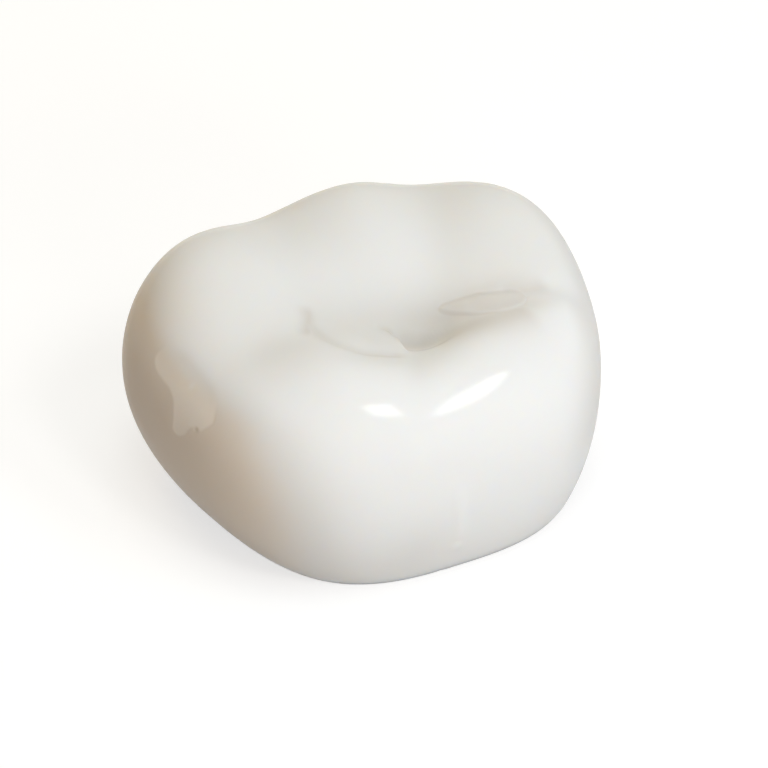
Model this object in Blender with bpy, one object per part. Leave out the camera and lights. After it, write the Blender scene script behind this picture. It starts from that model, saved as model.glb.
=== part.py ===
"""A full ceramic crown for a lower right first molar, standing on its margin.

X runs from the front (mesial) face to the back (distal) face, Y from the tongue to the
cheek, Z from the margin to the chewing surface. The outside is one smooth form: five
lobes and two end ridges make the chewing surface, four curved walls close it in, and the
two are rounded into each other. The inside is the socket that goes over the ground tooth.
Sizes are in millimetres and are turned into metres when the mesh is made.
"""
import math

import bmesh
import bpy
import numpy as np

MM = 0.001

# Half widths of the outside at the margin, at the fullest girth and at the chewing rim.
FRONT_WALL = (4.55, 5.61, 5.01)
BACK_WALL = (4.86, 5.53, 5.35)
CHEEK_WALL = (4.81, 5.28, 4.86)
TONGUE_WALL = (4.11, 4.48, 3.17)
GIRTH_HEIGHT = 2.62
RIM_HEIGHT = 5.4

# How square the plan is on each side, and how much it widens towards the cheek.
TONGUE_SQUARENESS = 2.94
CHEEK_SQUARENESS = 2.62
CHEEK_SPREAD = 0.168

# How far the walls are rounded into the chewing surface, and the lobes into each other.
RIM_ROUNDING = 1.74
LOBE_BLEND = 0.227

# Each lobe: centre X and Y, height, side slope, tip radius, heading of its ridge in
# degrees, and its stretch along and across that heading.
LOBES = {
    "front_cheek": (-3.35, 2.89, 6.01, 0.41, 1.16, -56, 1.36, 0.96),
    "middle_cheek": (0.72, 3.39, 5.86, 0.32, 1.31, -94, 1.58, 0.69),
    "back_cheek": (4.01, 2.21, 5.64, 0.40, 1.56, -136, 1.37, 1.01),
    "front_tongue": (-1.78, -1.52, 5.52, 0.50, 1.30, 80, 0.97, 1.15),
    "back_tongue": (1.11, -1.86, 5.44, 0.56, 1.30, 109, 0.73, 1.19),
}
# Each end ridge: centre X and Y, half length along Y, height, side slope, top radius.
END_RIDGES = {
    "front": (-4.16, 0.0, 2.2, 4.86, 0.8, 0.8),
    "back": (3.77, 0.3, 2.0, 4.98, 0.8, 0.8),
}
# The hollow in the middle of the chewing surface: centre X and Y, reach along X and Y, depth.
HOLLOW = (0.34, -0.58, 1.67, 2.25, 0.82)

# Depth and half width of the grooves: the main one, those between the cheek lobes, and
# the one that runs over the tongue side.
MAIN_GROOVE = (0.10, 0.45)
CHEEK_GROOVE = (0.05, 0.60)
TONGUE_GROOVE = (0.08, 0.38)
# Each groove is a rounded channel along points in plan.
GROOVES = {
    "middle": (MAIN_GROOVE, ((-2.1, -0.5), (-1.5, -1.6), (-0.3, -1.9), (0.6, -1.5), (4.2, -1.1))),
    "front_cheek": (CHEEK_GROOVE, ((-2.1, -0.5), (-1.9, 1.0), (-1.4, 3.4))),
    "back_cheek": (CHEEK_GROOVE, ((1.3, -0.9), (1.8, 0.7), (2.5, 1.9), (2.9, 3.2))),
    "tongue": (TONGUE_GROOVE, ((-0.2, -1.9), (-0.5, -2.7), (-0.8, -3.5), (-0.85, -4.3))),
}

# The socket: a shoulder round its mouth, walls that close in upwards, and a ceiling that
# follows the chewing surface in a softened way.
SHOULDER = 0.85
TAPER = 0.09
SOCKET_ROUNDING = 1.3
CEILING_THICKNESS = 1.4
CEILING_BLEND = 0.7
CEILING_FOLLOW = 0.45

# The margin is level along the cheek and the tongue, and arches up at the two end faces.
MARGIN_ARCH = 0.45
ARCH_HALF_ANGLE = 50

# Faces along one side of the chewing surface, up the outside, and up the socket.
GRID = 34
WALL_ROWS = 17
SOCKET_ROWS = 7

# Where each shell is blown out from, and the way from there to a corner of its top grid.
# Both corners have one heading in plan, so the two rims match point for point.
OUTSIDE_START = np.array([0.0, 0.0, 1.6])
SOCKET_START = np.array([0.0, 0.0, 1.0])
OUTSIDE_CORNER = np.array([4.5, 4.0, 3.6])
SOCKET_CORNER = np.array([4.5, 4.0, 2.9])


def curve_through(z, margin, girth, rim):
    """Parabola through a wall's half widths at the margin, the girth and the rim."""
    at_margin = margin * (z - GIRTH_HEIGHT) * (z - RIM_HEIGHT) / (GIRTH_HEIGHT * RIM_HEIGHT)
    at_girth = girth * z * (RIM_HEIGHT - z) / (GIRTH_HEIGHT * (RIM_HEIGHT - GIRTH_HEIGHT))
    at_rim = rim * z * (z - GIRTH_HEIGHT) / (RIM_HEIGHT * (RIM_HEIGHT - GIRTH_HEIGHT))
    return at_margin + at_girth + at_rim


def plan_ratio(x, y, widths):
    """1 on the plan outline with these half widths, less inside it and more outside."""
    front, back, cheek, tongue = widths
    depth = np.where(y > 0, cheek, tongue)
    length = np.where(x > 0, back, front) * (1 + CHEEK_SPREAD * y / depth)
    power = np.where(y > 0, CHEEK_SQUARENESS, TONGUE_SQUARENESS)
    return (np.abs(x / length) ** power + np.abs(y / depth) ** power) ** (1 / power)


def smooth_min(a, b, rounding):
    """The lower of two values, with the corner between them rounded off."""
    overlap = np.clip(rounding - np.abs(a - b), 0, None) / rounding
    return np.minimum(a, b) - overlap ** 3 * rounding / 6


def smooth_max(heights, blend):
    """The highest of several values, with the valleys between them rounded out."""
    highest = heights.max(axis=0)
    return highest + blend * np.log(np.exp((heights - highest) / blend).sum(axis=0))


def lobe_height(x, y, lobe):
    cx, cy, height, slope, radius, heading, along, across = lobe
    angle = math.radians(heading)
    u = ((x - cx) * math.cos(angle) + (y - cy) * math.sin(angle)) / along
    v = ((y - cy) * math.cos(angle) - (x - cx) * math.sin(angle)) / across
    return height - slope * (np.sqrt(u * u + v * v + radius * radius) - radius)


def ridge_height(x, y, ridge):
    cx, cy, half, height, slope, radius = ridge
    beyond = np.maximum(np.abs(y - cy) - half, 0)
    return height - slope * (np.sqrt((x - cx) ** 2 + beyond ** 2 + radius * radius) - radius)


def distance_to_path(x, y, path):
    """Plan distance from each point to a path of straight legs."""
    nearest = np.full(x.shape, np.inf)
    for (ax, ay), (bx, by) in zip(path, path[1:]):
        along_x, along_y = bx - ax, by - ay
        share = ((x - ax) * along_x + (y - ay) * along_y) / (along_x ** 2 + along_y ** 2)
        share = np.clip(share, 0, 1)
        away = np.hypot(x - ax - share * along_x, y - ay - share * along_y)
        nearest = np.minimum(nearest, away)
    return nearest


def chewing_height(x, y, blend=LOBE_BLEND):
    """Height of the lobes, the end ridges and the hollow, before the grooves."""
    heights = [lobe_height(x, y, lobe) for lobe in LOBES.values()]
    heights += [ridge_height(x, y, ridge) for ridge in END_RIDGES.values()]
    cx, cy, reach_x, reach_y, depth = HOLLOW
    hollow = depth * np.exp(-((x - cx) / reach_x) ** 2 - ((y - cy) / reach_y) ** 2)
    return smooth_max(np.array(heights), blend) - hollow


def groove_depth(x, y):
    """How deep the deepest groove is at each point in plan."""
    deepest = np.zeros(x.shape)
    for (depth, half_width), path in GROOVES.values():
        away = distance_to_path(x, y, path)
        deepest = np.maximum(deepest, depth * np.exp(-(away / half_width) ** 2))
    return deepest


def ceiling_height(x, y):
    """Top of the socket: a softened copy of the chewing surface, one wall below it."""
    middle = chewing_height(np.zeros(1), np.zeros(1), CEILING_BLEND)[0]
    relief = chewing_height(x, y, CEILING_BLEND) - middle
    lowest = chewing_height(np.zeros(1), np.zeros(1))[0] - MAIN_GROOVE[0] - CEILING_THICKNESS
    return lowest + CEILING_FOLLOW * relief


def outside(points):
    """Positive inside the crown's outer form, negative beyond it."""
    x, y, z = points.T
    walls = (FRONT_WALL, BACK_WALL, CHEEK_WALL, TONGUE_WALL)
    widths = [curve_through(z, *wall) for wall in walls]
    side = (1 - plan_ratio(x, y, widths)) * CHEEK_WALL[1]
    top = chewing_height(x, y) - groove_depth(x, y) - z
    return smooth_min(top, side, RIM_ROUNDING)


def socket(points):
    """Positive inside the socket, negative in the ceramic."""
    x, y, z = points.T
    walls = (FRONT_WALL, BACK_WALL, CHEEK_WALL, TONGUE_WALL)
    widths = [wall[0] - SHOULDER - TAPER * z for wall in walls]
    side = (1 - plan_ratio(x, y, widths)) * (CHEEK_WALL[0] - SHOULDER)
    return smooth_min(ceiling_height(x, y) - z, side, SOCKET_ROUNDING)


def reach(form, start, headings):
    """Where each heading from the start leaves a form, found by halving."""
    near = np.zeros(len(headings))
    far = np.full(len(headings), 2 * RIM_HEIGHT)
    for _ in range(40):
        half = (near + far) / 2
        inside = form(start + headings * half[:, None]) > 0
        near = np.where(inside, half, near)
        far = np.where(inside, far, half)
    return start + headings * near[:, None]


def margin_height(angle):
    """Height of the margin at a plan angle: level, but for an arch at each end face."""
    from_end = np.abs(np.arctan(np.tan(angle)))
    share = np.clip(from_end / math.radians(ARCH_HALF_ANGLE), 0, 1)
    return MARGIN_ARCH * np.cos(share * math.pi / 2) ** 2


def edge_point(form, angle):
    """Points of a form's lower edge, at the margin's height, at each plan angle."""
    flat = np.stack([np.cos(angle), np.sin(angle), np.zeros(len(angle))], axis=1)
    start = np.zeros((len(angle), 3))
    start[:, 2] = margin_height(angle)
    return reach(form, start, flat)


def unit(vectors):
    return vectors / np.linalg.norm(vectors, axis=1, keepdims=True)


def is_upright(edge):
    return abs(edge.verts[0].co.z - edge.verts[1].co.z) > 1e-6


def add_dome(mesh, form, start, corner, rows):
    """Add an open five-sided box, divided and then blown out from the start onto a form.

    The box spans -1 to 1 each way, so each vertex still says where it belongs: up the
    walls by its Z, and across the top by its X and Y.
    """
    shell = bmesh.new()
    bmesh.ops.create_cube(shell, size=2)
    bottom = min(shell.faces, key=lambda face: face.calc_center_median().z)
    bmesh.ops.delete(shell, geom=[bottom], context="FACES_ONLY")
    for upright, faces in ((True, rows), (False, GRID)):
        edges = [edge for edge in shell.edges if is_upright(edge) == upright]
        bmesh.ops.subdivide_edges(shell, edges=edges, cuts=faces - 1, use_grid_fill=True)

    place = np.array([vert.co[:] for vert in shell.verts])
    across = np.tan(place[:, :2] * math.pi / 4) * corner[:2]
    heading = unit(np.column_stack([across, np.full(len(place), corner[2])]))
    edge = edge_point(form, np.arctan2(heading[:, 1], heading[:, 0]))
    edge_heading = unit(edge - start)
    share = (place[:, 2:] + 1) / 2
    turn = np.arccos(np.clip((edge_heading * heading).sum(axis=1), -1, 1))[:, None]
    swept = np.sin((1 - share) * turn) * edge_heading + np.sin(share * turn) * heading
    points = reach(form, start, unit(swept))
    at_edge = place[:, 2] < -1 + 1e-6
    points[at_edge] = edge[at_edge]
    for vert, point in zip(shell.verts, points):
        vert.co = point * MM
    data = bpy.data.meshes.new("shell")
    shell.to_mesh(data)
    shell.free()
    mesh.from_mesh(data)
    bpy.data.meshes.remove(data)


def add_shoulder(mesh):
    """Extrude the outside's lower edge inwards to the mouth of the socket."""
    rim = [edge for edge in mesh.edges if edge.is_boundary]
    made = bmesh.ops.extrude_edge_only(mesh, edges=rim)["geom"]
    inner = [item for item in made if isinstance(item, bmesh.types.BMVert)]
    angle = np.array([math.atan2(vert.co.y, vert.co.x) for vert in inner])
    for vert, point in zip(inner, edge_point(socket, angle)):
        vert.co = point * MM


def build_crown():
    """The outer shell, a flat shoulder inwards from its margin, and the socket."""
    mesh = bmesh.new()
    add_dome(mesh, outside, OUTSIDE_START, OUTSIDE_CORNER, WALL_ROWS)
    add_shoulder(mesh)
    add_dome(mesh, socket, SOCKET_START, SOCKET_CORNER, SOCKET_ROWS)
    bmesh.ops.remove_doubles(mesh, verts=mesh.verts, dist=1e-7)
    bmesh.ops.recalc_face_normals(mesh, faces=mesh.faces)

    xs = [vert.co.x for vert in mesh.verts]
    ys = [vert.co.y for vert in mesh.verts]
    zs = [vert.co.z for vert in mesh.verts]
    middle = ((min(xs) + max(xs)) / 2, (min(ys) + max(ys)) / 2, min(zs))
    bmesh.ops.translate(mesh, verts=mesh.verts, vec=[-value for value in middle])

    data = bpy.data.meshes.new("crown")
    mesh.to_mesh(data)
    mesh.free()
    data.shade_smooth()
    return data


def ceramic():
    material = bpy.data.materials.new("glazed_ceramic")
    material.use_nodes = True
    shader = material.node_tree.nodes["Principled BSDF"]
    shader.inputs["Base Color"].default_value = (0.84, 0.83, 0.79, 1)
    shader.inputs["Roughness"].default_value = 0.15
    shader.inputs["Metallic"].default_value = 0
    return material


def main():
    for item in list(bpy.data.objects):
        bpy.data.objects.remove(item)
    data = build_crown()
    data.materials.append(ceramic())
    crown = bpy.data.objects.new("crown", data)
    bpy.context.collection.objects.link(crown)


main()
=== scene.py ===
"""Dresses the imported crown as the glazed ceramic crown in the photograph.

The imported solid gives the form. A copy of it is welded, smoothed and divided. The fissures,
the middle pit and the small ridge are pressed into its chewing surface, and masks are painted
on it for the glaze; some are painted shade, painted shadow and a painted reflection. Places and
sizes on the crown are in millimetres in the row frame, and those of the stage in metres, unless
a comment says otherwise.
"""
import math

import bmesh
import bpy
import numpy as np
from mathutils import Matrix, Quaternion, Vector
from mathutils.bvhtree import BVHTree


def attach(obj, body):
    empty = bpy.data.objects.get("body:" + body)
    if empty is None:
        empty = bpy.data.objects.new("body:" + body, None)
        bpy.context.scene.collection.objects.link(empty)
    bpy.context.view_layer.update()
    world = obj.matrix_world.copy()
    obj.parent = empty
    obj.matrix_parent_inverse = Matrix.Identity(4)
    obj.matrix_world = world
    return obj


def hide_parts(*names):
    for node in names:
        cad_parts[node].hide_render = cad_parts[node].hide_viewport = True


bl_info = {
    "name": "Ceramic dental crown",
    "version": (1, 0, 0),
    "blender": (4, 5, 0),
    "location": "View3D > Sidebar > Crown",
    "description": "Glazed ceramic molar crown and its studio stage",
    "category": "Object",
}

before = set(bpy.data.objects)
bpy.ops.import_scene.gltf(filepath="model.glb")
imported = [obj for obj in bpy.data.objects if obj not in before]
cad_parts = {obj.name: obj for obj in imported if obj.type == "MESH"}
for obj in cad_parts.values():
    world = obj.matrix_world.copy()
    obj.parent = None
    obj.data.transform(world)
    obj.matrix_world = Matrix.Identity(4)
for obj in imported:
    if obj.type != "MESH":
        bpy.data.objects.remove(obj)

MM = 0.001

# Welding: a gap in metres that is none, and how far the triangles of a quad fold and skew.
WELD_GAP = 1e-7
QUAD_FOLD = math.radians(40)
QUAD_SKEW = math.radians(50)
# A fold over this angle keeps this much of its crispness when the mesh is smoothed.
CREASE_FOLD = math.radians(50)
CREASE = 0.9
# Subdivision levels of the smooth surface, and of the mesh whose new points are seated on it.
SURFACE_LEVEL = 3
MESH_LEVEL = 1
# Faces that look up more than this are divided once. Then come rounds in which those over
# which a field changes by more than its limit are divided, but none smaller than the finest.
LOOKS_UP = 0.05
DETAIL_ROUNDS = 3
DETAIL_LIMITS = {"depth": 0.004 * MM, "stain": 0.08, "painted_reflection": 0.2}
FINEST_FACE = 0.02 * MM

# The socket is what faces down, and what faces inwards without facing up.
SOCKET_DOWN = -0.5
SOCKET_INWARD = -0.2
SOCKET_UP = 0.3
# Nearer the crown's axis than this, facing inwards has no meaning.
AXIS_GUARD = 1e-6
# The part of the normal at which a side starts and at which it is whole: the chewing surface
# and the end of the walls upwards, the tongue side's wall, and the front wall.
UPPER_SIDE = (0.2, 0.45)
WALL_END = (0.50, 0.90)
TONGUE_SIDE = (0.3, 0.7)
FRONT_SIDE = (0.53, 0.90)

# Thin fissures: plan path, depth and half width as shares of the set sizes, stain.
FISSURES = {
    "front_pit": (((-1.78, 0.15), (-1.92, -0.35), (-2.07, -0.64), (-2.35, -1.15)),
                  0.45, 2.0, 0.22),
    "front": (((-1.93, -0.10), (-2.00, -0.60), (-1.95, -1.16), (-1.80, -1.62), (-1.56, -1.89),
               (-1.25, -2.11), (-0.85, -2.16), (-0.47, -2.20), (-0.11, -2.24)),
              0.38, 1.9, 0.16),
    "pit_top": (((-0.38, -0.75), (-0.10, -0.90), (-0.03, -1.10), (0.02, -1.35), (0.0, -1.7)),
                0.5, 1.4, 0.24),
    "under_ridge": (((0.5, -1.8), (1.5, -1.98), (2.2, -2.20), (3.3, -2.05)), 0.0, 6.0, 0.25),
    "back": (((2.65, -1.08), (3.20, -1.23), (3.64, -1.34), (4.15, -1.36)), 0.3, 3.0, 0.24),
}
# How long their ends fade, and how much wider than the fissure its stain is.
FISSURE_FADE = 0.4
STAIN_SPREAD = 1.5

# The edge on the front side of the middle pit, and the line down the middle of the pit.
PIT_EDGE = ((-0.32, -0.74), (-0.10, -0.90), (-0.03, -1.08), (0.04, -1.29), (0.0, -1.58),
            (-0.06, -1.91), (-0.11, -2.23))
PIT_LINE = ((0.10, -1.42), (0.40, -1.55), (0.90, -1.68), (1.70, -1.75))
PIT_HALF_WIDTH = 0.42
# The shares of the line between which the pit fades out.
PIT_FADE = (0.25, 1)
# How far behind the edge the pit and its stain start and are whole, and the stain, which is
# partly a real stain and partly painted shade of the deep pit.
PIT_DROP = (-0.05, 0.07)
PIT_STAIN_AND_SHADE_DROP = (-0.12, -0.02)
PIT_STAIN_AND_SHADE = 0.26

# The hollow that sets the small ridge off: its path, half width, the fade of its ends, and
# the strength and half width of its stain.
HOLLOW_LINE = ((0.20, -1.30), (0.80, -1.18), (1.50, -1.20), (2.21, -1.33), (2.90, -1.45),
               (3.80, -1.45))
HOLLOW_HALF_WIDTH = 0.50
HOLLOW_FADE = 1.2
HOLLOW_STAIN = (0.19, 0.75)
# The small ridge: its middle, the share of its length and the power by which its nose widens,
# the power by which its back end closes, how soft its side is, and its stain at the back.
RIDGE_LINE = ((1.36, -0.76), (1.80, -1.06), (2.21, -1.31), (2.66, -1.49), (3.30, -1.55))
RIDGE_NOSE = (0.45, 0.6)
RIDGE_CLOSING = 8
RIDGE_SIDE = (-0.08, 0.12)
RIDGE_STAIN = 0.26
RIDGE_STAIN_START = (0, 0.5)
# The fine groove round it: half width, depth and stain, what is left of it on the cheek side,
# the share it loses towards the back, and where along the ridge it does.
RIM_HALF_WIDTH = 0.11
RIM_DEPTH = 0.008
RIM_STAIN = 0.27
RIM_CHEEK_SHARE = 0.7
RIM_LOSS = 0.3
RIM_LOSS_SPAN = (0.3, 0.8)
# Nearer than this share to the ridge's start there is no groove.
RIM_START = 0.001

# The near rim rises from the front lobe to the back one: where in plan, how high, half the
# width of the rise, how soon it fades out again, and its lean along X for each step along Y.
RIM_RISE_PLACE = (-1.039, -3.5)
RIM_RISE_HEIGHT = 0.05
RIM_RISE_HALF_WIDTH = 0.70
RIM_RISE_FADE = 1.86
RIM_RISE_LEAN = 0.289

# Soft patches of painted shade in the chewing surface: plan centre, reach along X and Y, strength.
SHADES = (
    (-0.55, -0.60, 1.60, 1.10, 0.42),
    (0.70, -0.95, 0.80, 0.60, 0.30),
    (2.9, -0.95, 0.9, 0.25, 0.25),
    (1.65, -1.95, 0.70, 0.40, 0.25),
    (-3.3, -1.3, 0.7, 0.5, 0.2),
)
# The same painted shade low on the tongue side's wall, darker towards the bottom: place along X
# and Z, reaches, strength.
WALL_SHADES = (
    (-1.5, 0.7, 1.4, 0.9, 0.22),
    (-1.05, 1.30, 0.85, 0.8, 0.20),
)
# Painted shade on the back wall: strength, how far it faces back, and the heights it starts over.
BACK_SHADE = 0.5
BACK_FACING = (0.35, 0.75)
BACK_HEIGHTS = (1.2, 2.6)
# Painted shade where the walls turn to the front: strength, the facing along X and its spread.
TURN_SHADE = 0.28
TURN_FACING = -0.58
TURN_SPREAD = 0.16

# Warmth on the front rim, partly glaze colour and partly painted shadow, as a soft ball: strength,
# place and reaches.
WARM_SHADOW_RIM = 0.45
WARM_SHADOW_RIM_PLACE = (-4.9, 2.0, 5.2)
WARM_SHADOW_RIM_REACH = (1.0, 1.5, 0.8)
# Warmth by the margin, and the heights over which it fades.
WARM_MARGIN = 0.16
WARM_MARGIN_HEIGHTS = (0.2, 1.8)

# A faint upright run of thicker glaze beside the wall's painted shades, which leave it out so
# that it shows lighter: as X and Z, its half width and the fade of its ends, and its small drop
# as X, Z and radius.
GLAZE_RUN = ((-0.12, 3.0), (-0.14, 2.5), (-0.10, 1.9), (-0.06, 1.2), (-0.02, 0.75))
GLAZE_RUN_HALF_WIDTH = 0.18
GLAZE_RUN_FADE = 0.8
GLAZE_DROP = (-0.14, 0.92, 0.16)

# Outline of the lighter spot on the front wall, a painted reflection over a shallow dent, as Y
# and Z, how soft it is, the part of the normal over which it ends upwards, and the X it lies in
# front of.
REFLECTION_SPOT = ((0.62, 4.86), (0.72, 4.56), (0.53, 4.36), (0.20, 4.27), (-0.17, 4.20), (-0.40, 4.04),
           (-0.50, 3.81), (-0.55, 3.56), (-0.55, 3.29), (-0.77, 3.24), (-1.02, 3.42),
           (-1.14, 3.66), (-1.32, 3.78), (-1.48, 3.76), (-1.62, 3.93), (-1.74, 4.11),
           (-1.66, 4.36), (-1.50, 4.60), (-1.14, 4.78), (-0.50, 4.86), (0.10, 4.96))
REFLECTION_SPOT_SOFT = 0.05
REFLECTION_SPOT_END = (0.45, 0.72)
REFLECTION_SPOT_BACK = -3
# The fine line along its upper edge, as Y and Z: half width, fade of its ends and stain.
REFLECTION_SPOT_LINE = ((0.50, 4.89), (-0.10, 4.86), (-0.78, 4.75), (-1.33, 4.61), (-1.59, 4.30))
REFLECTION_SPOT_LINE_HALF_WIDTH = 0.10
REFLECTION_SPOT_LINE_FADE = 0.6
REFLECTION_SPOT_LINE_STAIN = 0.12
# A lighter speck in it, as Y, Z and radius, and the warmth and painted shadow that it lacks.
REFLECTION_SPOT_SPECK = (-0.70, 4.50, 0.08)
REFLECTION_SPOT_SPECK_PALE = 0.8
# A small pit in it, as Y, Z and radius, its depth and its stain.
REFLECTION_SPOT_PIT = (-1.34, 3.74, 0.07)
REFLECTION_SPOT_PIT_DEPTH = 0.02
REFLECTION_SPOT_PIT_STAIN = 0.4

# How light enters the ceramic: its refraction, the share that enters, and how far each of
# red, green and blue gets in.
REFRACTION = 1.5
ENTERING_SHARE = 0.6
ENTERING_COLOURS = (1.0, 0.8, 0.6)
ENTERING_REACH = 0.5 * MM

FLOOR_HALF_SIZE = 0.6
LAMP_AIM = Vector((0, 0, 3)) * MM
LAMP_DISTANCE = 0.12
# The lamps that light the crown: azimuth from +X, elevation, share of the set power, colour.
SOFT_LAMP_SIZE = (0.07, 0.07)
SOFT_LAMPS = {
    "front": (270, 8, 2.24, (1, 1, 0.99)),
    "top": (0, 90, 0.97, (0.94, 1, 1)),
    "right_upper": (0, 55, 0.22, (1, 0.95, 0.95)),
    "back_right": (45, 8, 0.46, (0.95, 0.98, 1)),
    "back": (90, 30, 0.80, (1, 0.79, 0.42)),
    "left": (180, 8, 0.60, (1, 0.75, 0.52)),
}
# The two lamps that the glaze mirrors as the highlights on the near rim, and the point that
# they face: azimuth, elevation, size, tilt about their own axis, share of the set power.
WINDOW_AIM = Vector((-0.3, -3.5, 5.4)) * MM
WINDOW_LAMPS = {
    "window_left": (-72.9, 51, (0.0214, 0.0274), -5, 0.44),
    "window_right": (-47, 45.2, (0.0624, 0.0145), 30, 0.64),
}

# The camera's heading, its height over the horizon and its roll, the point that the angles
# are taken about, and how far off it stands in millimetres.
CAMERA_HEADING = math.radians(-25.488)
CAMERA_HEIGHT = math.radians(36.643)
CAMERA_ROLL = math.radians(-0.312)
CAMERA_TARGET = Vector((0.0315, -0.3738, 2.5)) * MM
CAMERA_DISTANCE = 90
# How many millimetres right of and over that point the middle of the picture is, the
# picture's width, and its pixels for each millimetre there.
PICTURE_SHIFT = (0.0446, 0.1604)
PICTURE_PIXELS = 768
PIXELS_PER_MM = 41.017
SENSOR_WIDTH = 36
CAMERA_CLIP = (0.01, 5)


class CrownShape(bpy.types.PropertyGroup):
    fissure_depth: bpy.props.FloatProperty(
        name="Fissure depth", description="Depth that each thin fissure takes a share of",
        default=0.05 * MM, min=0, unit="LENGTH", precision=6)
    fissure_width: bpy.props.FloatProperty(
        name="Fissure half width", description="Half width that each thin fissure multiplies",
        default=0.06 * MM, min=0.01 * MM, unit="LENGTH", precision=6)
    pit_depth: bpy.props.FloatProperty(
        name="Middle pit depth", description="Depth of the pit behind its sharp front edge",
        default=0.20 * MM, min=0, unit="LENGTH", precision=6)
    ridge_width: bpy.props.FloatProperty(
        name="Small ridge half width", description="Half the width of the small back ridge",
        default=0.36 * MM, min=0.05 * MM, unit="LENGTH", precision=6)
    ridge_height: bpy.props.FloatProperty(
        name="Small ridge height", description="Rise of that ridge out of its hollow",
        default=0.065 * MM, min=0, unit="LENGTH", precision=6)
    glaze_run: bpy.props.FloatProperty(
        name="Glaze run", description="Height of the run of glaze on the tongue side",
        default=0.03 * MM, min=0, unit="LENGTH", precision=6)
    # The shallow dent under the painted reflection spot on the front wall.
    reflection_spot_depth: bpy.props.FloatProperty(
        name="Contact spot depth", description="Ceramic ground away at the contact spot",
        default=0.008 * MM, min=0, unit="LENGTH", precision=6)


class CrownGlaze(bpy.types.PropertyGroup):
    body: bpy.props.FloatVectorProperty(
        name="Body colour", description="Colour of the ceramic", subtype="COLOR",
        default=(0.82, 0.82, 0.81), min=0, max=1)
    # On the front wall this warmer, darker colour is partly painted shadow; by the margin it is
    # the glaze's own colour.
    neck_and_shadow: bpy.props.FloatVectorProperty(
        name="Neck colour", description="Warmer colour on the front wall and by the margin",
        subtype="COLOR", default=(0.77, 0.685, 0.585), min=0, max=1)
    # Painted reflection: the lighter colour of the spot on the front wall.
    painted_reflection: bpy.props.FloatVectorProperty(
        name="Contact spot colour", description="Colour of the ground contact spot",
        subtype="COLOR", default=(0.88, 0.81, 0.72), min=0, max=1)
    # Painted shade: the grey that the shade mask mixes in, in the chewing surface and on the
    # walls.
    hollow: bpy.props.FloatVectorProperty(
        name="Hollow colour", description="Greyer colour in the chewing surface",
        subtype="COLOR", default=(0.66, 0.64, 0.60), min=0, max=1)
    # In the middle pit this stain is partly painted shade.
    stain: bpy.props.FloatVectorProperty(
        name="Fissure stain", description="Colour in the bottom of the fissures",
        subtype="COLOR", default=(0.46, 0.37, 0.27), min=0, max=1)
    gloss: bpy.props.FloatProperty(
        name="Gloss", description="Strength of the reflections in the fired glaze",
        default=0.35, min=0, max=1, subtype="FACTOR")
    roughness: bpy.props.FloatProperty(
        name="Glaze roughness", description="Roughness of the fired glaze",
        default=0.09, min=0, max=1, subtype="FACTOR")
    bare_roughness: bpy.props.FloatProperty(
        name="Bare roughness", description="Roughness of the unglazed socket",
        default=0.5, min=0, max=1, subtype="FACTOR")


class CrownStage(bpy.types.PropertyGroup):
    lamp_power: bpy.props.FloatProperty(
        name="Lamp power", description="Power that each lamp takes a share of",
        default=0.047, min=0, unit="POWER", precision=4)
    ambient: bpy.props.FloatProperty(
        name="Ambient light", description="Strength of the world as a light",
        default=0.05, min=0)
    backdrop: bpy.props.FloatProperty(
        name="Backdrop", description="Strength of the world as it is seen", default=0.8, min=0)
    paper: bpy.props.FloatProperty(
        name="Paper", description="Glow of the floor as it is seen", default=0.65, min=0)
    shadow: bpy.props.FloatProperty(
        name="Shadow", description="Share of the floor's look that shadows take away",
        default=0.45, min=0, max=1, subtype="FACTOR")
    bounce: bpy.props.FloatProperty(
        name="Bounce", description="Light that the floor throws back at the crown",
        default=0.35, min=0, max=1, subtype="FACTOR")


def welded_solid(name):
    """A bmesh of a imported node: its loose triangles merged and paired into quads."""
    mesh = bmesh.new()
    mesh.from_mesh(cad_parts[name].data)
    bmesh.ops.remove_doubles(mesh, verts=mesh.verts, dist=WELD_GAP)
    bmesh.ops.recalc_face_normals(mesh, faces=mesh.faces)
    bmesh.ops.join_triangles(mesh, faces=mesh.faces, angle_face_threshold=QUAD_FOLD,
                             angle_shape_threshold=QUAD_SKEW)
    return mesh


def crease_corners(mesh):
    """Keep the margin's corners crisp when the mesh is smoothed."""
    crease = mesh.edges.layers.float.new("crease_edge")
    for edge in mesh.edges:
        if edge.is_manifold and edge.calc_face_angle() > CREASE_FOLD:
            edge[crease] = CREASE


def smoothed(data, levels):
    """A mesh datablock subdivided by the Subdivision Surface modifier."""
    carrier = bpy.data.objects.new("carrier", data)
    bpy.context.scene.collection.objects.link(carrier)
    modifier = carrier.modifiers.new("Subdivision", "SUBSURF")
    modifier.levels = levels
    modifier.render_levels = levels
    modifier.use_limit_surface = True
    view = bpy.context.evaluated_depsgraph_get()
    made = bpy.data.meshes.new_from_object(carrier.evaluated_get(view))
    bpy.data.objects.remove(carrier)
    return made


def surface_of(data):
    """A tree that finds the nearest point on a mesh datablock."""
    mesh = bmesh.new()
    mesh.from_mesh(data)
    tree = BVHTree.FromBMesh(mesh)
    mesh.free()
    return tree


def refine(mesh, surface, chosen):
    """Divide the chosen faces once more and seat the new points on the smooth surface."""
    edges = {edge for face in chosen for edge in face.edges}
    made = bmesh.ops.subdivide_edges(mesh, edges=list(edges), cuts=1, use_grid_fill=True,
                                     use_single_edge=True)
    for item in made["geom_inner"]:
        if isinstance(item, bmesh.types.BMVert):
            item.co = surface.find_nearest(item.co)[0]


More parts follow.
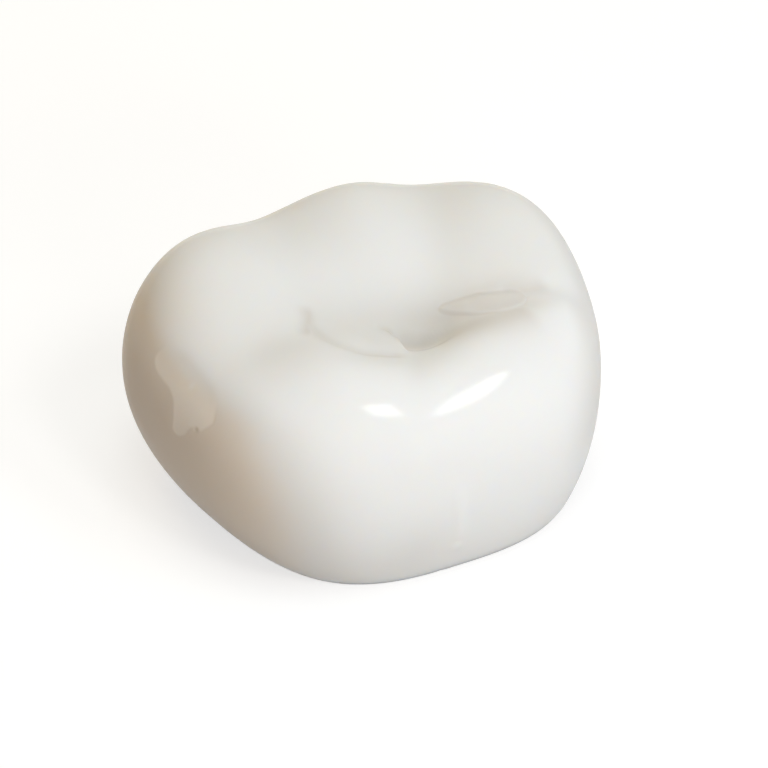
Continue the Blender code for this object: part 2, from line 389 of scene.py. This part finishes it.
def smooth_path(points, steps=6):
    """A curve through the points of a path, as many short legs."""
    points = np.array(points)
    ends = np.vstack([2 * points[0] - points[1], points, 2 * points[-1] - points[-2]])
    share = np.linspace(0, 1, steps, endpoint=False)[:, None]
    legs = []
    for before, start, end, after in zip(ends, ends[1:], ends[2:], ends[3:]):
        legs.append(0.5 * (2 * start + (end - before) * share
                           + (2 * before - 5 * start + 4 * end - after) * share ** 2
                           + (3 * start - before - 3 * end + after) * share ** 3))
    return np.vstack(legs + [points[-1:]])


def along_path(places, path):
    """Signed distance of places to a path, right of it positive, and the share along it."""
    best = np.full(len(places), np.inf)
    side = np.ones(len(places))
    where = np.zeros(len(places))
    lengths = np.linalg.norm(np.diff(path, axis=0), axis=1)
    run = np.concatenate([[0], np.cumsum(lengths)]) / lengths.sum()
    for i, (start, end) in enumerate(zip(path, path[1:])):
        leg = end - start
        away = places - start
        share = np.clip(away @ leg / (leg @ leg), 0, 1)
        gap = away - share[:, None] * leg
        distance = np.hypot(gap[:, 0], gap[:, 1])
        nearer = distance < best
        best[nearer] = distance[nearer]
        side[nearer] = np.sign(leg[1] * away[nearer, 0] - leg[0] * away[nearer, 1])
        where[nearer] = run[i] + share[nearer] * (run[i + 1] - run[i])
    return best * side, where


def eased(values, start, end):
    """0 before the start, 1 past the end, and a smooth step between them."""
    share = np.clip((values - start) / (end - start), 0, 1)
    return share * share * (3 - 2 * share)


def tapered(share, path, reach):
    """1 along a path and 0 at its two ends, with a fade this long."""
    length = np.linalg.norm(np.diff(path, axis=0), axis=1).sum()
    return eased(np.minimum(share, 1 - share) * length, 0, reach)


def bell(distance, width):
    """1 in the middle, and soon 0 past the width."""
    return np.exp(-(distance / width) ** 2)


def spot(across, up, place):
    """A soft round spot: its middle and radius."""
    return bell(np.hypot(across - place[0], up - place[1]), place[2])


def soft_patches(across, along, patches):
    """The sum of soft oval patches: centre, two reaches and strength of each."""
    total = np.zeros(len(across))
    for x, y, reach_x, reach_y, strength in patches:
        away = np.hypot((across - x) / reach_x, (along - y) / reach_y)
        total += strength * bell(away, 1)
    return total


def inside_outline(across, up, outline, soft):
    """1 inside a closed outline and 0 outside, with an edge this soft."""
    closed = smooth_path(outline + outline[:1], steps=3)
    distance, _ = along_path(np.column_stack([across, up]), closed)
    inside = np.zeros(len(across), bool)
    for (ay, az), (by, bz) in zip(closed, closed[1:]):
        spans = (az > up) != (bz > up)
        reach = ay + (up - az) * (by - ay) / (bz - az if bz != az else 1)
        inside ^= spans & (across < reach)
    signed = np.where(inside, 1, -1) * np.abs(distance)
    return eased(signed, -soft, soft)


def thin_fissures(plan, shape):
    """Depth and stain of the thin fissures."""
    depth = np.zeros(len(plan))
    stain = np.zeros(len(plan))
    for points, deep, wide, dark in FISSURES.values():
        path = smooth_path(points)
        distance, share = along_path(plan, path)
        width = shape.fissure_width / MM * wide
        ends = tapered(share, path, FISSURE_FADE)
        depth = np.maximum(depth, shape.fissure_depth / MM * deep * bell(distance, width) * ends)
        stain = np.maximum(stain, dark * bell(distance, STAIN_SPREAD * width) * ends)
    return depth, stain


def middle_pit(plan, shape):
    """Depth and stain of the pit, which drops sharply behind its front edge; the stain is partly
    painted shade.
    """
    behind = -along_path(plan, smooth_path(PIT_EDGE))[0]
    away, share = along_path(plan, smooth_path(PIT_LINE))
    pit = bell(away, PIT_HALF_WIDTH) * (1 - eased(share, *PIT_FADE))
    depth = shape.pit_depth / MM * pit * eased(behind, *PIT_DROP)
    return depth, PIT_STAIN_AND_SHADE * pit * eased(behind, *PIT_STAIN_AND_SHADE_DROP)


def small_ridge(plan, shape):
    """Depth and stain of the small ridge's hollow and of the fine groove round the ridge."""
    hollow_path = smooth_path(HOLLOW_LINE)
    away, share = along_path(plan, hollow_path)
    ends = tapered(share, hollow_path, HOLLOW_FADE)
    hollow = bell(away, HOLLOW_HALF_WIDTH) * ends
    hollow_dark, hollow_spread = HOLLOW_STAIN
    hollow_stain = hollow_dark * bell(away, hollow_spread) * ends

    across, share = along_path(plan, smooth_path(RIDGE_LINE))
    nose, power = RIDGE_NOSE
    edge = shape.ridge_width / MM * np.minimum(share / nose, 1) ** power
    edge *= np.sqrt(1 - np.minimum(share, 1) ** RIDGE_CLOSING)
    ridge = eased(edge - np.abs(across), *RIDGE_SIDE)
    rim = bell(np.abs(across) - edge, RIM_HALF_WIDTH)
    rim *= 1 - RIM_LOSS * eased(share, *RIM_LOSS_SPAN)
    rim *= np.where(across > 0, 1, RIM_CHEEK_SHARE) * np.where(share < RIM_START, 0, 1)

    depth = shape.ridge_height / MM * hollow * (1 - ridge) + RIM_DEPTH * rim
    ridge_stain = RIDGE_STAIN * ridge * eased(share, *RIDGE_STAIN_START)
    return depth, np.maximum.reduce([hollow_stain, RIM_STAIN * rim, ridge_stain])


def near_rim_rise(plan):
    """How far the near rim rises from the front lobe to the back one."""
    x, y = plan.T
    across = x - RIM_RISE_PLACE[0] - RIM_RISE_LEAN * (y - RIM_RISE_PLACE[1])
    step = eased(across, -RIM_RISE_HALF_WIDTH, RIM_RISE_HALF_WIDTH)
    return RIM_RISE_HEIGHT * step * bell(np.maximum(across, 0), RIM_RISE_FADE)


def chewing_detail(plan, shape):
    """Depth pressed into the chewing surface and its stain, partly painted shade in the middle
    pit, by plan place in mm.
    """
    fissure_depth, fissure_stain = thin_fissures(plan, shape)
    pit_depth, pit_stain_and_shade = middle_pit(plan, shape)
    ridge_depth, ridge_stain = small_ridge(plan, shape)
    depth = fissure_depth + pit_depth + ridge_depth - near_rim_rise(plan)
    return depth, np.maximum.reduce([fissure_stain, pit_stain_and_shade, ridge_stain])


def reflection_spot_marks(points, upwards):
    """Masks of the painted reflection spot on the front wall, of its upper line, its lighter speck
    and its pit.
    """
    x, y, z = points.T
    on_front = np.where(x < REFLECTION_SPOT_BACK, 1, 0)
    reflection_mask = inside_outline(y, z, REFLECTION_SPOT, REFLECTION_SPOT_SOFT) * on_front
    reflection_mask *= 1 - eased(upwards, *REFLECTION_SPOT_END)
    path = smooth_path(REFLECTION_SPOT_LINE)
    away, share = along_path(np.column_stack([y, z]), path)
    line = bell(away, REFLECTION_SPOT_LINE_HALF_WIDTH) * tapered(share, path, REFLECTION_SPOT_LINE_FADE)
    speck = spot(y, z, REFLECTION_SPOT_SPECK)
    pit = spot(y, z, REFLECTION_SPOT_PIT)
    return reflection_mask, line * on_front, speck * on_front, pit * on_front


def run_of_glaze(x, z):
    """Mask of the upright run of thicker glaze and its drop."""
    path = smooth_path(GLAZE_RUN)
    away, share = along_path(np.column_stack([x, z]), path)
    run = bell(away, GLAZE_RUN_HALF_WIDTH) * tapered(share, path, GLAZE_RUN_FADE)
    return np.maximum(run, spot(x, z, GLAZE_DROP))


def turned_shade(backwards, z, on_wall):
    """Painted shade on the back wall, and where the walls turn to the front."""
    back = BACK_SHADE * eased(backwards, *BACK_FACING) * eased(z, *BACK_HEIGHTS)
    return back + TURN_SHADE * bell(backwards - TURN_FACING, TURN_SPREAD) * on_wall


def warmth_and_shadow(points, backwards, on_wall):
    """How warm the glaze is: on the front wall and the rim over it partly painted shadow, and by
    the margin.
    """
    warm_and_shadow = eased(-backwards, *FRONT_SIDE) * on_wall
    away = np.linalg.norm((points - WARM_SHADOW_RIM_PLACE) / WARM_SHADOW_RIM_REACH, axis=1)
    warm_and_shadow += WARM_SHADOW_RIM * bell(away, 1)
    return np.maximum(warm_and_shadow, WARM_MARGIN * (1 - eased(points[:, 2], *WARM_MARGIN_HEIGHTS)))


def surface_fields(mesh, shape):
    """For each vertex: the depth to press it in, in metres, and the masks of the glaze, among them
    painted shade, painted shadow and a painted reflection.
    """
    points = np.array([vert.co[:] for vert in mesh.verts]) / MM
    normals = np.array([vert.normal[:] for vert in mesh.verts])
    x, y, z = points.T
    backwards, cheekwards, upwards = normals.T
    outwards = (backwards * x + cheekwards * y) / np.maximum(np.hypot(x, y), AXIS_GUARD)
    inner_wall = (outwards < SOCKET_INWARD) & (upwards < SOCKET_UP)
    glazed = np.where((upwards < SOCKET_DOWN) | inner_wall, 0.0, 1.0)
    upper = eased(upwards, *UPPER_SIDE) * glazed
    on_wall = 1 - eased(upwards, *WALL_END)
    tongue_wall = eased(-cheekwards, *TONGUE_SIDE) * np.where(y < 0, 1, 0) * glazed

    depth, stain = chewing_detail(points[:, :2], shape)
    # The lighter spot on the front wall is a painted reflection over a shallow dent.
    reflection_mask, line, speck, pit = reflection_spot_marks(points, upwards)
    reflection_mask *= glazed
    run = run_of_glaze(x, z) * tongue_wall
    pressed = depth * upper + shape.reflection_spot_depth / MM * reflection_mask + REFLECTION_SPOT_PIT_DEPTH * pit
    # Painted shade: grey patches in the chewing surface and low on the tongue side's wall, left
    # out along the run of glaze so that the run shows lighter, and on the back wall and where the
    # walls turn to the front.
    painted_shade = np.clip(soft_patches(x, y, SHADES), 0, 1)
    painted_shade += soft_patches(x, z, WALL_SHADES) * tongue_wall
    painted_shade *= np.maximum(upper, tongue_wall) * (1 - run)
    painted_shade += turned_shade(backwards, z, on_wall) * glazed
    warm_and_shadow = warmth_and_shadow(points, backwards, on_wall) - REFLECTION_SPOT_SPECK_PALE * speck
    stains = [stain * upper, REFLECTION_SPOT_PIT_STAIN * pit, REFLECTION_SPOT_LINE_STAIN * line]
    return {
        "depth": (pressed - shape.glaze_run / MM * run) * MM,
        "stain": np.maximum.reduce(stains),
        "painted_shade": np.clip(painted_shade, 0, 1),
        "painted_reflection": reflection_mask,
        "warm_and_shadow": np.clip(warm_and_shadow, 0, 1) * glazed,
        "bare": 1 - glazed,
    }


def changes_fast(fields, face):
    """Whether a field changes by more than its limit over a face."""
    corners = [vert.index for vert in face.verts]
    return any(np.ptp(fields[name][corners]) > limit for name, limit in DETAIL_LIMITS.items())


def divided_crown(cage, shape):
    """A bmesh of the smooth crown, divided where its detail needs it."""
    surface = surface_of(smoothed(cage, SURFACE_LEVEL))
    mesh = bmesh.new()
    mesh.from_mesh(smoothed(cage, MESH_LEVEL))
    refine(mesh, surface, [face for face in mesh.faces if face.normal.z > LOOKS_UP])
    for _ in range(DETAIL_ROUNDS):
        mesh.normal_update()
        mesh.verts.index_update()
        fields = surface_fields(mesh, shape)
        coarse = [face for face in mesh.faces if face.calc_area() >= FINEST_FACE ** 2]
        refine(mesh, surface, [face for face in coarse if changes_fast(fields, face)])
    return mesh


def press_detail(mesh, shape):
    """Press the fine detail in, paint the glaze's masks and mark the bare faces."""
    mesh.normal_update()
    mesh.verts.index_update()
    fields = surface_fields(mesh, shape)
    pressed = fields.pop("depth")
    bare = fields.pop("bare")
    layers = {name: mesh.verts.layers.float.new(name) for name in fields}
    for i, vert in enumerate(mesh.verts):
        vert.co -= vert.normal * pressed[i]
        for name, layer in layers.items():
            vert[layer] = fields[name][i]
    mesh.normal_update()
    for face in mesh.faces:
        face.material_index = int(all(bare[vert.index] for vert in face.verts))


class CROWN_OT_make_crown(bpy.types.Operator):
    """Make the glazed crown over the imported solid"""

    bl_idname = "crown.make_crown"
    bl_label = "Make the crown"

    def execute(self, context):
        scene = context.scene
        solid = welded_solid("crown")
        crease_corners(solid)
        cage = bpy.data.meshes.new("cage")
        solid.to_mesh(cage)
        solid.free()

        mesh = divided_crown(cage, scene.crown_shape)
        press_detail(mesh, scene.crown_shape)
        made = bpy.data.meshes.new("glazed_crown")
        mesh.to_mesh(made)
        mesh.free()
        made.shade_smooth()
        made.materials.append(glazed_ceramic(scene.crown_glaze))
        made.materials.append(bare_ceramic(scene.crown_glaze))

        crown = bpy.data.objects.new("glazed_crown", made)
        scene.collection.objects.link(crown)
        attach(crown, "root")
        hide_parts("crown")
        return {"FINISHED"}


def attribute_mix(tree, factor, under, over):
    """Mix a colour, or a socket's colour, with another by a mask painted on the mesh."""
    mask = tree.nodes.new("ShaderNodeAttribute")
    mask.attribute_name = factor
    mix = tree.nodes.new("ShaderNodeMix")
    mix.data_type = "RGBA"
    tree.links.new(mask.outputs["Fac"], mix.inputs["Factor"])
    if isinstance(under, bpy.types.NodeSocket):
        tree.links.new(under, mix.inputs["A"])
    else:
        mix.inputs["A"].default_value = (*under, 1)
    mix.inputs["B"].default_value = (*over, 1)
    return mix.outputs["Result"]


def ceramic(name, glaze):
    """A ceramic body that light enters a little way, and its shader for the finish."""
    material = bpy.data.materials.new(name)
    material.use_nodes = True
    shader = material.node_tree.nodes["Principled BSDF"]
    shader.inputs["IOR"].default_value = REFRACTION
    shader.inputs["Subsurface Weight"].default_value = ENTERING_SHARE
    shader.inputs["Subsurface Radius"].default_value = ENTERING_COLOURS
    shader.inputs["Subsurface Scale"].default_value = ENTERING_REACH
    shader.inputs["Base Color"].default_value = (*glaze.body, 1)
    return material, shader


def glazed_ceramic(glaze):
    """The outside under clear glaze: stained fissures, a warmer neck, painted shadow on the front
    wall, a painted reflection spot and painted shade.
    """
    material, shader = ceramic("glazed_ceramic", glaze)
    tree = material.node_tree
    # Painted light in these mixes: the warmer neck colour is partly painted shadow on the front
    # wall, the spot's colour is a painted reflection, the hollow colour is painted shade, and the
    # fissure stain is partly painted shade in the middle pit.
    colour = attribute_mix(tree, "warm_and_shadow", glaze.body, glaze.neck_and_shadow)
    colour = attribute_mix(tree, "painted_reflection", colour, glaze.painted_reflection)
    colour = attribute_mix(tree, "painted_shade", colour, glaze.hollow)
    colour = attribute_mix(tree, "stain", colour, glaze.stain)
    tree.links.new(colour, shader.inputs["Base Color"])
    shader.inputs["Specular IOR Level"].default_value = 0
    shader.inputs["Coat Weight"].default_value = glaze.gloss
    shader.inputs["Coat Roughness"].default_value = glaze.roughness
    return material


def bare_ceramic(glaze):
    """The socket: matt, as it comes out of the furnace."""
    material, shader = ceramic("bare_ceramic", glaze)
    shader.inputs["Roughness"].default_value = glaze.bare_roughness
    return material


def lamp(name, azimuth, elevation, size, power, colour=(1, 1, 1), aim=LAMP_AIM, tilt=0):
    """A rectangular area lamp that faces its aim, tilted about its own axis."""
    data = bpy.data.lights.new(name, "AREA")
    data.shape = "RECTANGLE"
    data.size, data.size_y = size
    data.energy = power
    data.color = colour
    item = bpy.data.objects.new(name, data)
    bpy.context.scene.collection.objects.link(item)
    around = math.radians(azimuth)
    above = math.radians(elevation)
    heading = Vector((math.cos(around) * math.cos(above),
                      math.sin(around) * math.cos(above), math.sin(above)))
    item.location = aim + heading * LAMP_DISTANCE
    item.rotation_mode = "QUATERNION"
    item.rotation_quaternion = (heading.to_track_quat("Z", "Y")
                                @ Quaternion((0, 0, 1), math.radians(tilt)))
    item.visible_camera = False
    return item


def white_to_the_eye(tree, dim, bright):
    """A mix of two closures: the bright one for what is seen, the dim one for the rest."""
    path = tree.nodes.new("ShaderNodeLightPath")
    seen = path.outputs["Is Camera Ray"]
    for kind in ("Is Glossy Ray", "Is Transmission Ray"):
        either = tree.nodes.new("ShaderNodeMath")
        either.operation = "MAXIMUM"
        tree.links.new(seen, either.inputs[0])
        tree.links.new(path.outputs[kind], either.inputs[1])
        seen = either.outputs[0]
    mix = tree.nodes.new("ShaderNodeMixShader")
    tree.links.new(seen, mix.inputs[0])
    tree.links.new(dim, mix.inputs[1])
    tree.links.new(bright, mix.inputs[2])
    return mix.outputs[0]


def matt_grey(tree, value):
    """A matt closure of an even grey."""
    closure = tree.nodes.new("ShaderNodeBsdfDiffuse")
    closure.inputs["Color"].default_value = (value, value, value, 1)
    return closure.outputs[0]


def paper_material(stage):
    """Pale floor paper that keeps the crown's shadow."""
    material = bpy.data.materials.new("white_paper")
    material.use_nodes = True
    tree = material.node_tree
    tree.nodes.clear()
    glow = tree.nodes.new("ShaderNodeEmission")
    glow.inputs["Strength"].default_value = stage.paper
    shaded = tree.nodes.new("ShaderNodeAddShader")
    tree.links.new(matt_grey(tree, stage.shadow), shaded.inputs[0])
    tree.links.new(glow.outputs[0], shaded.inputs[1])
    mixed = white_to_the_eye(tree, matt_grey(tree, stage.bounce), shaded.outputs[0])
    out = tree.nodes.new("ShaderNodeOutputMaterial")
    tree.links.new(mixed, out.inputs["Surface"])
    return material


def studio_world(stage):
    """White to the eye and in reflections, dimmer as a light."""
    world = bpy.data.worlds.new("studio")
    world.use_nodes = True
    tree = world.node_tree
    tree.nodes.clear()
    dim = tree.nodes.new("ShaderNodeBackground")
    dim.inputs["Strength"].default_value = stage.ambient
    bright = tree.nodes.new("ShaderNodeBackground")
    bright.inputs["Strength"].default_value = stage.backdrop
    mixed = white_to_the_eye(tree, dim.outputs[0], bright.outputs[0])
    out = tree.nodes.new("ShaderNodeOutputWorld")
    tree.links.new(mixed, out.inputs["Surface"])
    return world


def paper_floor(stage):
    """A wide flat floor under the crown."""
    mesh = bmesh.new()
    bmesh.ops.create_grid(mesh, x_segments=1, y_segments=1, size=FLOOR_HALF_SIZE)
    data = bpy.data.meshes.new("floor")
    mesh.to_mesh(data)
    mesh.free()
    data.materials.append(paper_material(stage))
    floor = bpy.data.objects.new("floor", data)
    bpy.context.scene.collection.objects.link(floor)
    return floor


def place_camera(camera):
    """The photograph's viewing angle."""
    back = Vector((math.sin(CAMERA_HEADING) * math.cos(CAMERA_HEIGHT),
                   -math.cos(CAMERA_HEADING) * math.cos(CAMERA_HEIGHT),
                   math.sin(CAMERA_HEIGHT)))
    right = Vector((math.cos(CAMERA_HEADING), math.sin(CAMERA_HEADING), 0))
    up = back.cross(right)
    right, up = (math.cos(CAMERA_ROLL) * right + math.sin(CAMERA_ROLL) * up,
                 math.cos(CAMERA_ROLL) * up - math.sin(CAMERA_ROLL) * right)
    camera.location = CAMERA_TARGET + back * CAMERA_DISTANCE * MM
    centre = CAMERA_TARGET + (right * PICTURE_SHIFT[0] + up * PICTURE_SHIFT[1]) * MM
    forward = (centre - camera.location).normalized()
    across = forward.cross(up).normalized()
    level = across.cross(forward)
    camera.rotation_mode = "QUATERNION"
    camera.rotation_quaternion = Matrix((across, level, -forward)).transposed().to_quaternion()
    camera.data.sensor_width = SENSOR_WIDTH
    camera.data.lens = SENSOR_WIDTH * PIXELS_PER_MM * CAMERA_DISTANCE / PICTURE_PIXELS
    camera.data.clip_start, camera.data.clip_end = CAMERA_CLIP


class CROWN_OT_make_stage(bpy.types.Operator):
    """Make the floor, the lamps and the camera"""

    bl_idname = "crown.make_stage"
    bl_label = "Make the stage"

    def execute(self, context):
        scene = context.scene
        stage = scene.crown_stage
        paper_floor(stage)
        scene.world = studio_world(stage)

        for name, (azimuth, elevation, share, colour) in SOFT_LAMPS.items():
            soft = lamp(name, azimuth, elevation, SOFT_LAMP_SIZE, stage.lamp_power * share, colour)
            soft.visible_glossy = False
        for name, (azimuth, elevation, size, tilt, share) in WINDOW_LAMPS.items():
            lamp(name, azimuth, elevation, size, stage.lamp_power * share,
                 aim=WINDOW_AIM, tilt=tilt)

        camera = bpy.data.objects.new("camera", bpy.data.cameras.new("camera"))
        scene.collection.objects.link(camera)
        place_camera(camera)
        scene.camera = camera
        scene.view_settings.view_transform = "Standard"
        return {"FINISHED"}


class CROWN_PT_panel(bpy.types.Panel):
    """Sizes, colours and steps of the crown"""

    bl_label = "Crown"
    bl_idname = "CROWN_PT_panel"
    bl_space_type = "VIEW_3D"
    bl_region_type = "UI"
    bl_category = "Crown"

    def draw(self, context):
        for group in ("crown_shape", "crown_glaze", "crown_stage"):
            settings = getattr(context.scene, group)
            column = self.layout.column()
            for name in settings.__annotations__:
                column.prop(settings, name)
        for step in STEPS:
            self.layout.operator(step.bl_idname)


STEPS = (CROWN_OT_make_crown, CROWN_OT_make_stage)
CLASSES = (CrownShape, CrownGlaze, CrownStage, *STEPS, CROWN_PT_panel)


def register():
    for item in CLASSES:
        bpy.utils.register_class(item)
    bpy.types.Scene.crown_shape = bpy.props.PointerProperty(type=CrownShape)
    bpy.types.Scene.crown_glaze = bpy.props.PointerProperty(type=CrownGlaze)
    bpy.types.Scene.crown_stage = bpy.props.PointerProperty(type=CrownStage)


def unregister():
    del bpy.types.Scene.crown_shape
    del bpy.types.Scene.crown_glaze
    del bpy.types.Scene.crown_stage
    for item in reversed(CLASSES):
        bpy.utils.unregister_class(item)


def main():
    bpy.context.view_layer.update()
    register()
    bpy.ops.crown.make_crown()
    bpy.ops.crown.make_stage()


if __name__ == "__main__":
    main()
